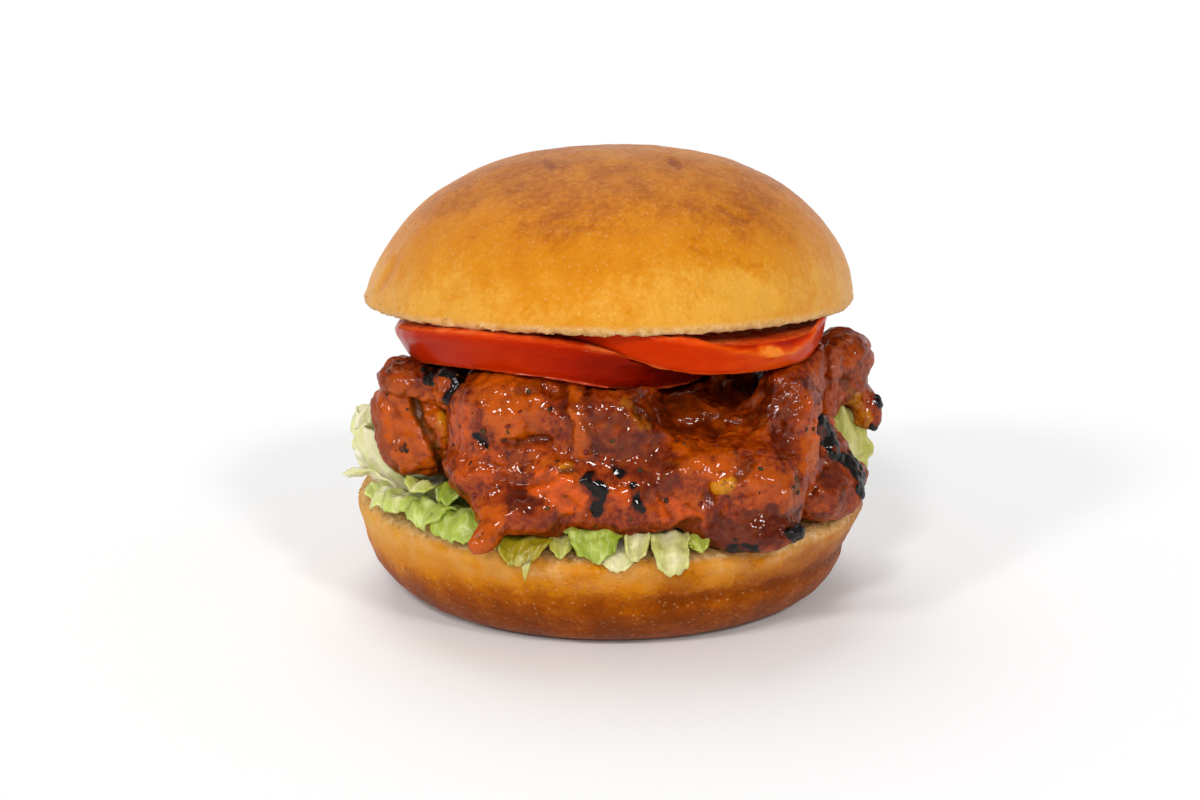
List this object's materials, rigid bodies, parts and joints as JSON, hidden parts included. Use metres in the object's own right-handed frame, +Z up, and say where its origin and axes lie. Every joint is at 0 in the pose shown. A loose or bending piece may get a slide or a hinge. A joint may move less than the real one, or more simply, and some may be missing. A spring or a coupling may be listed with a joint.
{
  "type": "chicken burger",
  "caption": "Grilled chicken burger: a soft golden bun with glazed chicken pieces, tomato slices and shredded lettuce stacked between its halves.",
  "frame": {"origin": "centre of the flat foot of the lower bun", "axes": "+Z up through the stack, -Y towards the front of the burger, +X to its right"},
  "size_m": [0.1236, 0.1236, 0.1027],
  "materials": {
    "bread": "soft egg-washed crust, golden brown, with a pale crumbly cut edge",
    "chicken": "wet red-orange glaze over grilled meat, charred at the edges",
    "tomato": "wet red flesh and smooth skin",
    "lettuce": "crisp translucent leaf, pale green to cream"
  },
  "bodies": {
    "root": {"bun_bottom": "bread", "bun_top": "bread", "lettuce": "lettuce", "chicken_main": "chicken", "chicken_left": "chicken", "chicken_flap": "chicken", "chicken_lobe": "chicken", "tomato_left": "tomato", "tomato_right": "tomato"}
  },
  "joints": []
}
